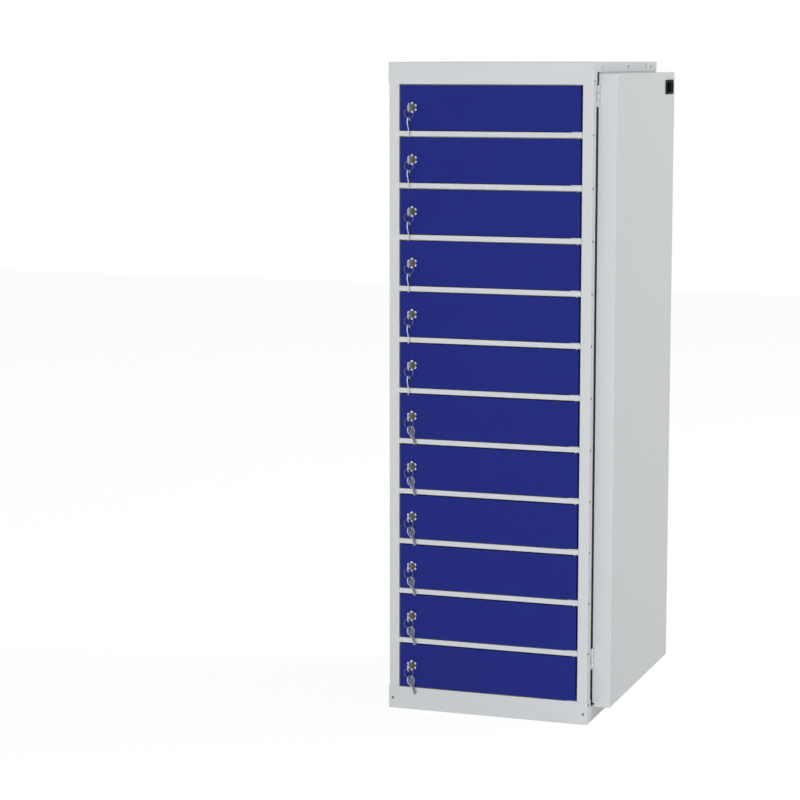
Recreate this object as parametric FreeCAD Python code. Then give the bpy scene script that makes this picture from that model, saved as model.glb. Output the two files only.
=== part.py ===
import FreeCAD
import Part

import math
import os

# Laptop charging locker: a folded steel cabinet with a column of small lockable doors, and a hinged
# cover over the charging bay on its right side. Millimetres, Z up, the front faces -Y, and the origin
# is the centre of the cabinet's footprint on the floor.

# Cabinet
cabinet_width = 380.0
cabinet_depth = 460.0
cabinet_height = 1186.0
sheet = 1.2
door_count = 12

# Front frame
plinth_height = 41.5
fascia_height = 39.0
rail_height = 9.5
rail_depth = 18.0
upright_width = 20.0
upright_return = 24.0

# Top cap and base
rim_height = 17.5
base_rim_height = 28.0
seam_width = 0.8
seam_depth = 0.5
seam_margin = 1.5
link_hole_radius = 3.5
link_holes_from_front = (56.0, 244.0, 374.0, 413.0)

# Doors
door_foot_gap = 1.2
door_head_gap = 2.0
latch_gap = 1.5
pivot_gap = 3.0
door_depth = 15.0
door_edge_radius = 1.0
pivot_inset = 5.0
pivot_setback = 5.0
pivot_radius = 2.0
pivot_in_door = 8.0
pivot_end_gap = 1.0

# Cam locks
lock_from_upright = 25.0
bezel_radius = 9.5
bezel_thickness = 2.2
bezel_chamfer = 1.2
barrel_radius = 7.9
nut_across_flats = 20.0
nut_thickness = 4.0
plug_radius = 5.0
collar_radius = 6.3
collar_thickness = 1.2
cam_thickness = 2.0
cam_width = 12.0
cam_overlap = 6.0
cam_screw_radius = 2.0
cam_screw_tip_gap = 0.6
cam_screw_head_radius = 4.0
cam_screw_head = 2.5

# Keys and rings
key_thickness = 1.8
key_reach = 31.0
bow_radius = 9.0
bow_hole_radius = 2.75
bow_hole_offset = 4.0
blade_width = 6.5
bit_count = 4
bit_depth = 1.3
blade_insertion = 14.2
ring_radius = 8.5
ring_wire_radius = 0.7
turned_spares_from = 7
spare_turn = -25.0
spare_lean = 18.0

# Charging bay
cable_gap = 40.0
jamb_depth = 24.0
bay_head_height = 25.0
vent_count = 5
vent_length = 40.0
vent_width = 4.0
vent_pitch = 60.0
vent_below_shelf = 16.0

# Side cover
cover_proud = 30.4
cover_from_front = 45.0
cover_overhang = 22.0
cover_from_floor = 23.0
cover_rim_gap = 2.5
cover_edge_radius = 1.0
lip_gap = 1.0
flange_reach = 3.0

# Cover hinges
hinge_height = 38.0
hinge_below_top = 39.5
hinge_above_bottom = 91.0
knuckle_radius = 4.0
hinge_pin_radius = 2.0
leaf_thickness = 2.0
fixed_leaf_length = 12.0

# Catches
catch_height = 46.0
catch_width = 18.0
catch_depth = 14.0
catch_from_end = 110.0

# Outlet strips
strip_count = 2
strip_length = 510.0
strip_width = 46.0
strip_depth = 22.0
strip_gap = 40.0
strip_edge_radius = 2.0
outlet_count = 6
outlet_slot_width = 2.2
outlet_slot_length = 7.0
outlet_slot_depth = 12.0
outlet_slot_spread = 6.3

# Mains inlet
inlet_width = 60.0
inlet_height = 27.0
inlet_flange = 2.0
inlet_border = 2.0
inlet_body_depth = 23.0
inlet_from_rear = 15.5
inlet_below_top = 14.0
drawer_width = 17.0
drawer_raise = 0.8
drawer_border = 3.0
socket_width = 30.0
socket_height = 19.0
socket_depth = 17.0
blade_count = 3
blade_length = 10.0
blade_thickness = 2.0
blade_depth = 4.0
blade_pitch = 7.0

# Rivets
rivet_head_radius = 2.4
rivet_head = 1.0
rivet_radius = 1.4
rivet_from_edge = 6.0
plinth_rivet_inset = 8.0
plinth_rivet_level = 19.5

# Clearances
running_clearance = 0.08
seat_clearance = 0.1
ring_clearance = 0.3
side_clearance = 0.6
cam_clearance = 0.6
knuckle_clearance = 0.3
catch_clearance = 0.3

# Worked-out planes and pitches
half_width = cabinet_width / 2
front = -cabinet_depth / 2
rear = cabinet_depth / 2
wall_x = half_width - sheet
frame_front = front + sheet
frame_rear = frame_front + rail_depth
return_rear = front + upright_return
back_outer = rear - sheet
back_inner = back_outer - sheet
opening_half = half_width - upright_width
compartment_left = -wall_x + sheet
top_under = cabinet_height - sheet
rim_bottom = cabinet_height - rim_height
door_pitch = (cabinet_height - fascia_height - plinth_height + rail_height) / door_count
opening_height = door_pitch - rail_height
ceiling = cabinet_height - fascia_height + rail_height

pivot_x = opening_half - pivot_gap - pivot_inset
pivot_y = frame_front + pivot_setback
pivot_in_rail = rail_height / 2 - pivot_end_gap

lock_x = -opening_half + lock_from_upright
bezel_front = frame_front - bezel_thickness
cam_front = frame_rear + cam_clearance
cam_rear = cam_front + cam_thickness
barrel_rear = cam_front - cam_clearance
cam_length = lock_from_upright + sheet + cam_overlap
blade_end = bezel_front + blade_insertion
key_hole_y = blade_end - key_reach
cam_screw_tip = blade_end + cam_screw_tip_gap
ring_drop = bow_hole_radius - ring_wire_radius - ring_clearance

cover_inner = half_width + side_clearance
cover_outer = half_width + cover_proud
cover_front = front + cover_from_front
cover_rear = rear + cover_overhang
cover_bottom = cover_from_floor
cover_top = rim_bottom - cover_rim_gap
hinge_x = half_width - 2 * sheet - leaf_thickness / 2
hinge_y = cover_front - leaf_thickness / 2 - knuckle_radius
hinge_levels = (cover_bottom + hinge_above_bottom, cover_top - hinge_below_top)


def vector(x, y, z):
    return FreeCAD.Vector(x, y, z)


def box(x0, x1, y0, y1, z0, z1):
    return Part.makeBox(x1 - x0, y1 - y0, z1 - z0, vector(x0, y0, z0))


def rod(radius, start, end):
    along = end - start
    return Part.makeCylinder(radius, along.Length, start, along)


def rod_x(radius, x0, x1, y, z):
    return rod(radius, vector(x0, y, z), vector(x1, y, z))


def rod_y(radius, x, y0, y1, z):
    return rod(radius, vector(x, y0, z), vector(x, y1, z))


def rod_z(radius, x, y, z0, z1):
    return rod(radius, vector(x, y, z0), vector(x, y, z1))


def joined(first, *others):
    return first.fuse(list(others)).removeSplitter()


def mirrored(shape, side):
    if side > 0:
        return shape
    return shape.mirror(vector(0, 0, 0), vector(1, 0, 0))


def prism(points, along):
    outline = Part.makePolygon(points + [points[0]])
    return Part.Face(outline).extrude(along)


def edges_on_plane(shape, axis, level):
    return [e for e in shape.Edges if all(abs(getattr(v.Point, axis) - level) < 1e-6 for v in e.Vertexes)]


def export(name, *solids):
    shape = solids[0] if len(solids) == 1 else Part.makeCompound(list(solids))
    shape.exportStep("parts/" + name + ".step")


def opening_bottom(number):
    return plinth_height + (door_count - number) * door_pitch


def door_middle(number):
    return opening_bottom(number) + opening_height / 2


def door_numbers():
    return range(1, door_count + 1)


def rail_levels():
    return [opening_bottom(number) - rail_height / 2 for number in range(1, door_count)]


# Rivets: each place is the point where the head sits and the way the head faces
def rivet_places():
    places = []
    for side in (-1, 1):
        plinth_x = side * (half_width - plinth_rivet_inset)
        places.append((vector(plinth_x, front, plinth_rivet_level), vector(0, -1, 0)))
        cap_level = cabinet_height - fascia_height + rivet_from_edge
        for level in (plinth_height - rivet_from_edge, cap_level):
            places.append((vector(side * half_width, front + rivet_from_edge, level), vector(side, 0, 0)))
        for level in rail_levels():
            places.append((vector(side * wall_x, frame_front + rivet_from_edge, level), vector(side, 0, 0)))
    return places


def rivet(place, facing):
    head = Part.makeCone(rivet_head_radius, rivet_radius, rivet_head, place, facing)
    shank = rod(rivet_radius, place, place - facing * (2 * sheet + rivet_head))
    return joined(head, shank)


def without_rivet_holes(shape):
    reach = 2 * sheet + rivet_head
    holes = [
        rod(rivet_radius + seat_clearance, place + facing * rivet_head, place - facing * reach)
        for place, facing in rivet_places()
    ]
    return shape.cut(holes)


# Carcass
def corner_seam(side, corner_level, notch_level):
    corner = vector(side * half_width, front, corner_level)
    notch = vector(side * half_width, return_rear, notch_level)
    along = (notch - corner).normalize()
    across = vector(0, -along.z, along.y) * (seam_width / 2)
    start = corner + along * seam_margin
    end = notch - along * seam_margin
    outline = [start + across, start - across, end - across, end + across]
    return prism(outline, vector(-side * seam_depth, 0, 0))


def base_plinth():
    outside = box(-half_width, half_width, front, rear, 0, plinth_height)
    inside = box(-wall_x, wall_x, frame_front, back_outer, sheet, plinth_height)
    above_rims = box(-half_width, half_width, return_rear, rear, base_rim_height, plinth_height)
    seams = [corner_seam(side, 0, base_rim_height) for side in (-1, 1)]
    return without_rivet_holes(outside.cut([inside, above_rims] + seams))


def link_holes(x0, x1):
    level = rim_bottom + rim_height / 2
    return [rod_x(link_hole_radius, x0, x1, front + place, level) for place in link_holes_from_front]


def top_cap():
    fascia_bottom = cabinet_height - fascia_height
    outside = box(-half_width, half_width, front, rear, fascia_bottom, cabinet_height)
    inside = box(-wall_x, wall_x, frame_front, back_outer, fascia_bottom, top_under)
    below_rims = box(-half_width, half_width, return_rear, rear, fascia_bottom, rim_bottom)
    seams = [corner_seam(side, cabinet_height, rim_bottom) for side in (-1, 1)]
    cap = outside.cut([inside, below_rims] + seams + link_holes(-half_width, half_width))
    return without_rivet_holes(cap)


# The right upright's outer return is the deeper one, because it carries the cover's hinges
def upright(side):
    outer_rear = return_rear if side > 0 else frame_rear
    face = box(opening_half, wall_x, frame_front, frame_front + sheet, sheet, top_under)
    outer = box(wall_x - sheet, wall_x, frame_front, outer_rear, sheet, top_under)
    inner = box(opening_half, opening_half + sheet, frame_front, frame_rear, sheet, top_under)
    return without_rivet_holes(mirrored(joined(face, outer, inner), side))


def rail(bottom, top):
    outside = box(-opening_half, opening_half, frame_front, frame_rear, bottom, top)
    inside = box(-opening_half, opening_half, frame_front + sheet, frame_rear, bottom + sheet, top - sheet)
    return outside.cut(inside)


def pivot_hole(level):
    reach = pivot_in_rail + pivot_end_gap / 2
    return rod_z(pivot_radius + running_clearance, pivot_x, pivot_y, level - reach, level + reach)


def front_frame():
    fascia_bottom = cabinet_height - fascia_height
    header = rail(fascia_bottom, top_under).cut(pivot_hole(fascia_bottom))
    sill = rail(sheet, plinth_height).cut(pivot_hole(plinth_height))
    pieces = [upright(-1), upright(1), header, sill]
    for level in rail_levels():
        low, high = level - rail_height / 2, level + rail_height / 2
        pieces.append(rail(low, high).cut([pivot_hole(low), pivot_hole(high)]))
    return pieces


def vent(x, level):
    straight = (vent_length - vent_width) / 2
    half = vent_width / 2
    slot = box(x - straight, x + straight, back_inner, back_outer, level - half, level + half)
    ends = [rod_y(half, x + end, back_inner, back_outer, level) for end in (-straight, straight)]
    return slot.fuse(ends)


def vents():
    slots = []
    for number in door_numbers():
        level = opening_bottom(number) + opening_height - vent_below_shelf
        for index in range(vent_count):
            slots.append(vent((index - (vent_count - 1) / 2) * vent_pitch, level))
    return slots


def body_wrap():
    left = box(-wall_x, compartment_left, frame_rear, back_outer, sheet, top_under)
    back = box(-wall_x, wall_x, back_inner, back_outer, sheet, top_under)
    jamb = box(wall_x - sheet, wall_x, back_outer - jamb_depth, back_outer, sheet, top_under)
    head_front = cover_front + sheet + cover_rim_gap
    head = box(wall_x - sheet, wall_x, head_front, back_outer, top_under - bay_head_height, top_under)
    wrap = joined(left, back, jamb, head)
    return wrap.cut(vents() + link_holes(-half_width, half_width))


# The wall stops short of the back, so each compartment's cables pass round it into the bay
def bay_wall():
    return box(opening_half, opening_half + sheet, frame_rear, back_inner - cable_gap, sheet, ceiling)


def shelf(level):
    bottom = level - rail_height
    outside = box(compartment_left, opening_half, frame_rear, back_inner, bottom, level)
    inside = box(
        compartment_left + sheet,
        opening_half - sheet,
        frame_rear,
        back_inner - sheet,
        bottom,
        level - sheet,
    )
    return outside.cut(inside)


# Doors, locks and keys
def door_ends(number):
    opening_top = opening_bottom(number) + opening_height
    return opening_bottom(number) + door_foot_gap, opening_top - door_head_gap


def door_leaf(number):
    left = -opening_half + latch_gap
    right = opening_half - pivot_gap
    bottom, top = door_ends(number)
    outside = box(left, right, frame_front, frame_front + door_depth, bottom, top)
    outside = outside.makeFillet(door_edge_radius, edges_on_plane(outside, "y", frame_front))
    inside = box(
        left + sheet,
        right - sheet,
        frame_front + sheet,
        frame_front + door_depth,
        bottom + sheet,
        top - sheet,
    )
    barrel_hole = rod_y(
        barrel_radius + seat_clearance, lock_x, frame_front, frame_front + sheet, door_middle(number)
    )
    pin_holes = rod_z(pivot_radius, pivot_x, pivot_y, bottom, top)
    return outside.cut([inside, barrel_hole, pin_holes])


def pivot_pins(number):
    bottom, top = door_ends(number)
    foot = bottom - door_foot_gap - pivot_in_rail
    head = top + door_head_gap + pivot_in_rail
    return [
        rod_z(pivot_radius, pivot_x, pivot_y, foot, bottom + pivot_in_door),
        rod_z(pivot_radius, pivot_x, pivot_y, top - pivot_in_door, head),
    ]


def lock_barrel(level):
    chamfer_start = bezel_front + bezel_chamfer
    start = vector(lock_x, bezel_front, level)
    slope = Part.makeCone(bezel_radius - bezel_chamfer, bezel_radius, bezel_chamfer, start, vector(0, 1, 0))
    bezel = rod_y(bezel_radius, lock_x, chamfer_start, frame_front, level)
    barrel = rod_y(barrel_radius, lock_x, frame_front, barrel_rear, level)
    bore = rod_y(plug_radius + running_clearance, lock_x, bezel_front, barrel_rear, level)
    seat = collar_thickness + running_clearance
    collar_seat = rod_y(collar_radius + running_clearance, lock_x, bezel_front, bezel_front + seat, level)
    return joined(slope, bezel, barrel).cut([bore, collar_seat])


def lock_nut(level):
    corner = nut_across_flats / 2 / math.cos(math.pi / 6)
    near = frame_front + sheet
    points = [
        vector(lock_x + corner * math.cos(turn), near, level + corner * math.sin(turn))
        for turn in (index * math.pi / 3 for index in range(6))
    ]
    hexagon = prism(points, vector(0, nut_thickness, 0))
    return hexagon.cut(rod_y(barrel_radius, lock_x, near, near + nut_thickness, level))


def lock_plug(level):
    collar = rod_y(collar_radius, lock_x, bezel_front, bezel_front + collar_thickness, level)
    plug = joined(collar, rod_y(plug_radius, lock_x, bezel_front, cam_front, level))
    half_slot = key_thickness / 2 + seat_clearance
    half_blade = blade_width / 2 + seat_clearance
    keyway = box(
        lock_x - half_slot,
        lock_x + half_slot,
        bezel_front,
        blade_end + seat_clearance,
        level - half_blade,
        level + half_blade,
    )
    screw_hole = rod_y(cam_screw_radius, lock_x, cam_screw_tip, cam_front, level)
    return plug.cut([keyway, screw_hole])


def lock_cam(level):
    end = level - cam_length + cam_width / 2
    arm = box(lock_x - cam_width / 2, lock_x + cam_width / 2, cam_front, cam_rear, end, level)
    rounds = [rod_y(cam_width / 2, lock_x, cam_front, cam_rear, centre) for centre in (end, level)]
    hole = rod_y(cam_screw_radius + seat_clearance, lock_x, cam_front, cam_rear, level)
    return joined(arm, *rounds).cut(hole)


def cam_screw(level):
    head = rod_y(cam_screw_head_radius, lock_x, cam_rear, cam_rear + cam_screw_head, level)
    shank = rod_y(cam_screw_radius, lock_x, cam_screw_tip, cam_rear, level)
    return joined(head, shank)


# A key with its bow hole at the origin, flat across X, and its blade pointing down
def key_blank():
    half = key_thickness / 2
    bow = rod_x(bow_radius, -half, half, 0, -bow_hole_offset)
    blade = box(-half, half, -blade_width / 2, blade_width / 2, -key_reach, -bow_hole_offset)
    hole = rod_x(bow_hole_radius, -half, half, 0, 0)
    blade_top = bow_hole_offset + bow_radius
    bit_pitch = (key_reach - blade_top) / (bit_count + 1)
    edge = blade_width / 2
    bits = []
    for index in range(bit_count):
        level = -key_reach + (index + 1) * bit_pitch
        corners = [(edge, level - bit_depth), (edge, level + bit_depth), (edge - bit_depth, level)]
        bits.append(prism([vector(-half, y, z) for y, z in corners], vector(key_thickness, 0, 0)))
    return joined(bow, blade).cut([hole] + bits)


def key_in_lock(level):
    key = key_blank()
    key.rotate(vector(0, 0, 0), vector(1, 0, 0), 90)
    key.translate(vector(lock_x, key_hole_y, level))
    return key


def split_ring(level):
    centre = vector(lock_x, key_hole_y, level - ring_drop - ring_radius)
    return Part.makeTorus(ring_radius, ring_wire_radius, centre, vector(0, 1, 0))


# The lower spare keys have turned on their rings and slid a little way round them
def spare_key(number):
    key = key_blank()
    hang = ring_drop + ring_radius
    ring_centre = vector(0, 0, hang)
    if number >= turned_spares_from:
        key.rotate(vector(0, 0, 0), vector(0, 0, 1), spare_turn)
        key.rotate(ring_centre, vector(0, 1, 0), -spare_lean)
    key.translate(vector(lock_x, key_hole_y, door_middle(number) - 2 * hang))
    return key


# Side cover and what it carries
def inlet_span():
    far = cover_rear - inlet_from_rear
    return far - inlet_width, far


def inlet_levels():
    top = cover_top - inlet_below_top
    return top - inlet_height, top


def inlet_body(x0, x1, clearance):
    near, far = inlet_span()
    low, high = inlet_levels()
    inset = inlet_border - clearance
    return box(x0, x1, near + inset, far - inset, low + inset, high - inset)


def cover_pan():
    outside = box(cover_inner, cover_outer, cover_front, cover_rear, cover_bottom, cover_top)
    outside = outside.makeFillet(cover_edge_radius, edges_on_plane(outside, "x", cover_outer))
    inside = box(
        cover_inner,
        cover_outer - sheet,
        cover_front + sheet,
        cover_rear - sheet,
        cover_bottom + sheet,
        cover_top - sheet,
    )
    lip = box(cover_inner, cover_inner + sheet, rear + lip_gap, cover_rear, cover_bottom, cover_top)
    flange_inner = half_width - flange_reach
    flange_bottom = base_rim_height + cover_rim_gap
    flange = box(flange_inner, cover_inner, cover_front, cover_front + sheet, flange_bottom, cover_top)
    pan = joined(outside.cut(inside), lip, flange)
    return pan.cut(inlet_body(cover_outer - sheet, cover_outer, seat_clearance))


def knuckle_thirds(level):
    third = hinge_height / 3
    start = level - hinge_height / 2
    return [(start + index * third, start + (index + 1) * third) for index in range(3)]


# The middle knuckle is welded to the cover's front flange by its neck
def moving_knuckle(level):
    low, high = knuckle_thirds(level)[1]
    low += knuckle_clearance
    high -= knuckle_clearance
    knuckle = rod_z(knuckle_radius, hinge_x, hinge_y, low, high)
    neck = box(hinge_x, hinge_x + knuckle_radius, hinge_y, cover_front, low, high)
    bore = rod_z(hinge_pin_radius + running_clearance, hinge_x, hinge_y, low, high)
    return joined(knuckle, neck).cut(bore)


def fixed_leaf(level):
    plate_outer = half_width - 2 * sheet
    plate_inner = plate_outer - leaf_thickness
    bottom, top = level - hinge_height / 2, level + hinge_height / 2
    plate = box(plate_inner, plate_outer, return_rear - fixed_leaf_length, return_rear, bottom, top)
    pieces = []
    bores = []
    for low, high in (knuckle_thirds(level)[0], knuckle_thirds(level)[2]):
        pieces.append(box(plate_inner, plate_outer, return_rear, hinge_y, low, high))
        pieces.append(rod_z(knuckle_radius, hinge_x, hinge_y, low, high))
        bores.append(rod_z(hinge_pin_radius, hinge_x, hinge_y, low, high))
    return joined(plate, *pieces).cut(bores)


def hinge_pin(level):
    return rod_z(hinge_pin_radius, hinge_x, hinge_y, level - hinge_height / 2, level + hinge_height / 2)


def catch(level):
    face = cover_inner - catch_clearance
    half = catch_height / 2
    return box(face - catch_width, face, back_outer, back_outer + catch_depth, level - half, level + half)


def outlet_slots(middle_y, middle_z, face):
    slots = []
    for across, along in ((-1, 0), (1, 0), (0, 1)):
        y = middle_y + across * outlet_slot_spread
        z = middle_z + along * outlet_slot_spread
        wide = outlet_slot_length if along else outlet_slot_width
        tall = outlet_slot_width if along else outlet_slot_length
        slots.append(
            box(face, face + outlet_slot_depth, y - wide / 2, y + wide / 2, z - tall / 2, z + tall / 2)
        )
    return slots


def outlet_strip(index):
    back = cover_outer - sheet
    face = back - strip_depth
    middle_y = (cover_front + cover_rear) / 2
    total = strip_count * strip_length + (strip_count - 1) * strip_gap
    bottom = (cover_bottom + cover_top - total) / 2 + index * (strip_length + strip_gap)
    half = strip_width / 2
    strip = box(face, back, middle_y - half, middle_y + half, bottom, bottom + strip_length)
    strip = strip.makeFillet(strip_edge_radius, edges_on_plane(strip, "x", face))
    outlet_pitch = strip_length / outlet_count
    slots = []
    for outlet in range(outlet_count):
        slots += outlet_slots(middle_y, bottom + (outlet + 0.5) * outlet_pitch, face)
    return strip.cut(slots)


def mains_inlet():
    near, far = inlet_span()
    low, high = inlet_levels()
    middle_z = (low + high) / 2
    face = cover_outer + inlet_flange
    flange = box(cover_outer, face, near, far, low, high)
    body = inlet_body(cover_outer - inlet_body_depth, cover_outer, 0)
    split = far - drawer_width
    socket_y = (near + split) / 2
    socket = box(
        face - socket_depth,
        face,
        socket_y - socket_width / 2,
        socket_y + socket_width / 2,
        middle_z - socket_height / 2,
        middle_z + socket_height / 2,
    )
    drawer_seat = box(
        cover_outer, face, split, far - drawer_border, low + drawer_border, high - drawer_border
    )
    housing = joined(flange, body).cut([socket, drawer_seat])
    drawer = box(
        cover_outer,
        face + drawer_raise,
        split + seat_clearance,
        far - drawer_border - seat_clearance,
        low + drawer_border + seat_clearance,
        high - drawer_border - seat_clearance,
    )
    floor = face - socket_depth
    blades = []
    for index in range(blade_count):
        offset = (index - (blade_count - 1) / 2) * blade_pitch
        blades.append(
            box(
                floor,
                floor + blade_length,
                socket_y + offset - blade_thickness / 2,
                socket_y + offset + blade_thickness / 2,
                middle_z - blade_depth / 2,
                middle_z + blade_depth / 2,
            )
        )
    return [housing, drawer] + blades


def main():
    os.makedirs("parts", exist_ok=True)
    export("base_plinth", base_plinth())
    export("top_cap", top_cap())
    export("front_frame", *front_frame())
    export("body_wrap", body_wrap())
    export("bay_wall", bay_wall())
    export("shelves", shelf(ceiling), *[shelf(opening_bottom(number)) for number in door_numbers()])
    export("rivets", *[rivet(place, facing) for place, facing in rivet_places()])
    hinge_pieces = [make(level) for level in hinge_levels for make in (fixed_leaf, hinge_pin)]
    export("cover_hinges", *hinge_pieces)
    catch_levels = (cover_bottom + catch_from_end, cover_top - catch_from_end)
    export("cover_catches", *[catch(level) for level in catch_levels])
    export("side_cover", cover_pan(), *[moving_knuckle(level) for level in hinge_levels])
    export("outlet_strips", *[outlet_strip(index) for index in range(strip_count)])
    export("mains_inlet", *mains_inlet())
    for number in door_numbers():
        level = door_middle(number)
        label = f"{number:02d}"
        export("door_" + label, door_leaf(number), *pivot_pins(number))
        export("lock_" + label, lock_barrel(level), lock_nut(level))
        export("key_" + label, lock_plug(level), lock_cam(level), cam_screw(level), key_in_lock(level))
        export("spare_key_" + label, split_ring(level), spare_key(number))


main()
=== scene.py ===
import bpy
import math
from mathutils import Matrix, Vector


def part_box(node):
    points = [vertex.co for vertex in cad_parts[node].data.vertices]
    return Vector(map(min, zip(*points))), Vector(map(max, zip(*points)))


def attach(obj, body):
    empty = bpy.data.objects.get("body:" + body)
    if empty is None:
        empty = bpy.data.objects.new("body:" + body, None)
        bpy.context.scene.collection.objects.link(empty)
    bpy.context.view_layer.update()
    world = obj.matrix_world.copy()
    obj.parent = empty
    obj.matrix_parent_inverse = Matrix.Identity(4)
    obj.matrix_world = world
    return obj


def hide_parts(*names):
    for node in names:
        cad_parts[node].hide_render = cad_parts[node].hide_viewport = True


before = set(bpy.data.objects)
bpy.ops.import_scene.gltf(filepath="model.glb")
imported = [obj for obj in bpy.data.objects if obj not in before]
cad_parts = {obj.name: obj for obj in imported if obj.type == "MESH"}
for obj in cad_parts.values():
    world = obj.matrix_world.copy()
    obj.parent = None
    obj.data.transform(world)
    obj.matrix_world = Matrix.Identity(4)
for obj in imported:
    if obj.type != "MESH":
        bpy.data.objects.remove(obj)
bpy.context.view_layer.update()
print("frame loaded, nodes:", len(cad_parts))

# sizes are in mm and turns in degrees; edges shorter than a sliver are welded away
mm = 0.001
sliver = 0.004
quarterTurn = 90
# how squarely a face has to look one way, and how near a line an edge has to lie, to be picked
mostly = 0.9
squarely = 0.99
near = 0.1


# picking and shaping
def selectOnly(*pieces):
    bpy.ops.object.select_all(action="DESELECT")
    for piece in pieces:
        piece.select_set(True)
    bpy.context.view_layer.objects.active = pieces[0]


def settle(name):
    bpy.ops.object.transform_apply(location=True, rotation=True, scale=True)
    piece = bpy.context.object
    piece.name = name
    piece.data.name = name
    return piece


def bar(name, low, high, turn=(0, 0, 0)):
    bpy.ops.object.select_all(action="DESELECT")
    middle = [(a + b) / 2 * mm for a, b in zip(low, high)]
    size = [(b - a) * mm for a, b in zip(low, high)]
    bpy.ops.mesh.primitive_cube_add(size=1, location=middle, scale=size, rotation=turn)
    return settle(name)


def post(name, radius, start, end, sides=32):
    bpy.ops.object.select_all(action="DESELECT")
    start, end = Vector(start) * mm, Vector(end) * mm
    run = end - start
    turn = run.to_track_quat("Z", "Y").to_euler()
    bpy.ops.mesh.primitive_cylinder_add(
        vertices=sides, radius=radius * mm, depth=run.length, location=(start + end) / 2, rotation=turn)
    return settle(name)


# opens a piece in edit mode with only the wanted faces, edges or points picked
def openPiece(piece, kind, wanted):
    selectOnly(piece)
    bpy.ops.object.mode_set(mode="EDIT")
    bpy.ops.mesh.select_mode(type=kind)
    bpy.ops.mesh.select_all(action="DESELECT")
    bpy.ops.object.mode_set(mode="OBJECT")
    mesh = piece.data
    spots = [point.co / mm for point in mesh.vertices]
    if kind == "FACE":
        for face in mesh.polygons:
            face.select = wanted(face.center / mm, face.normal)
    elif kind == "EDGE":
        for edge in mesh.edges:
            edge.select = wanted(*[spots[i] for i in edge.vertices])
    else:
        for point, spot in zip(mesh.vertices, spots):
            point.select = wanted(spot)
    bpy.ops.object.mode_set(mode="EDIT")


def closePiece():
    bpy.ops.object.mode_set(mode="OBJECT")


def push(x=0, y=0, z=0):
    bpy.ops.mesh.extrude_region_move(TRANSFORM_OT_translate={"value": (x * mm, y * mm, z * mm)})


def inset(width, depth=0.0):
    bpy.ops.mesh.inset(thickness=width * mm, depth=depth * mm)


def pushEdges(piece, wanted, **way):
    openPiece(piece, "EDGE", wanted)
    push(**way)
    closePiece()


# steps are the width and depth of one inset after another
def dish(piece, wanted, *steps):
    openPiece(piece, "FACE", wanted)
    for width, depth in steps:
        inset(width, depth)
    closePiece()


def bevelEdges(piece, wanted, width, segments=1):
    openPiece(piece, "EDGE", wanted)
    bpy.ops.mesh.bevel(offset=width * mm, segments=segments, affect="EDGES")
    closePiece()


# edges that run from side to side
def alongX(a, b):
    return abs(a.x - b.x) > near


def deleteFaces(piece, wanted):
    openPiece(piece, "FACE", wanted)
    bpy.ops.mesh.delete(type="FACE")
    closePiece()


def sliceAt(piece, place, normal, **options):
    openPiece(piece, "FACE", lambda spot, facing: True)
    bpy.ops.mesh.bisect(plane_co=[v * mm for v in place], plane_no=normal, **options)
    closePiece()


def applyAll(piece):
    selectOnly(piece)
    for step in list(piece.modifiers):
        bpy.ops.object.modifier_apply(modifier=step.name)


def addBevel(piece, width, segments, angle):
    bevel = piece.modifiers.new("bend", "BEVEL")
    bevel.width = width * mm
    bevel.segments = segments
    bevel.limit_method = "ANGLE"
    bevel.angle_limit = math.radians(angle)


def roundEdges(piece, width, segments=2, angle=40):
    addBevel(piece, width, segments, angle)
    applyAll(piece)


sheetLook = {"thick": 1.2, "bendSteps": 4, "bendAngle": 40, "edge": 0.2, "edgeSteps": 1, "edgeAngle": 60}


# an open shell becomes folded sheet: bends first, then thickness, then the cut edges
def foldSheet(piece, bend):
    addBevel(piece, bend, sheetLook["bendSteps"], sheetLook["bendAngle"])
    thick = piece.modifiers.new("sheet", "SOLIDIFY")
    thick.thickness = sheetLook["thick"] * mm
    thick.offset = -1
    addBevel(piece, sheetLook["edge"], sheetLook["edgeSteps"], sheetLook["edgeAngle"])
    applyAll(piece)


def cutAway(piece, *tools):
    for tool in tools:
        cut = piece.modifiers.new("cut", "BOOLEAN")
        cut.operation = "DIFFERENCE"
        cut.solver = "EXACT"
        cut.object = tool
    applyAll(piece)
    discard(*tools)


# bevels that meet leave slivers behind, which go before the shading
def smooth(piece, angle=35):
    openPiece(piece, "VERT", lambda spot: True)
    bpy.ops.mesh.remove_doubles(threshold=sliver * mm)
    bpy.ops.mesh.select_all(action="SELECT")
    bpy.ops.mesh.dissolve_degenerate(threshold=sliver * mm)
    closePiece()
    selectOnly(piece)
    bpy.ops.object.shade_smooth_by_angle(angle=math.radians(angle))
    even = piece.modifiers.new("flats", "WEIGHTED_NORMAL")
    even.keep_sharp = True
    applyAll(piece)
    return piece


def dress(material, *pieces):
    for piece in pieces:
        piece.data.materials.clear()
        piece.data.materials.append(material)


def join(name, *pieces):
    selectOnly(*pieces)
    bpy.ops.object.join()
    return settle(name)


def twin(piece, name, shift=(0, 0, 0), turn=(0, 0, 0)):
    selectOnly(piece)
    bpy.ops.object.duplicate()
    copy = bpy.context.object
    copy.rotation_euler = [math.radians(angle) for angle in turn]
    copy.location = [v * mm for v in shift]
    return settle(name)


def discard(*pieces):
    for piece in pieces:
        bpy.data.objects.remove(piece)


def seat(piece, body, slot, *nodes):
    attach(piece, body)
    if nodes:
        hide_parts(*nodes)


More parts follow.
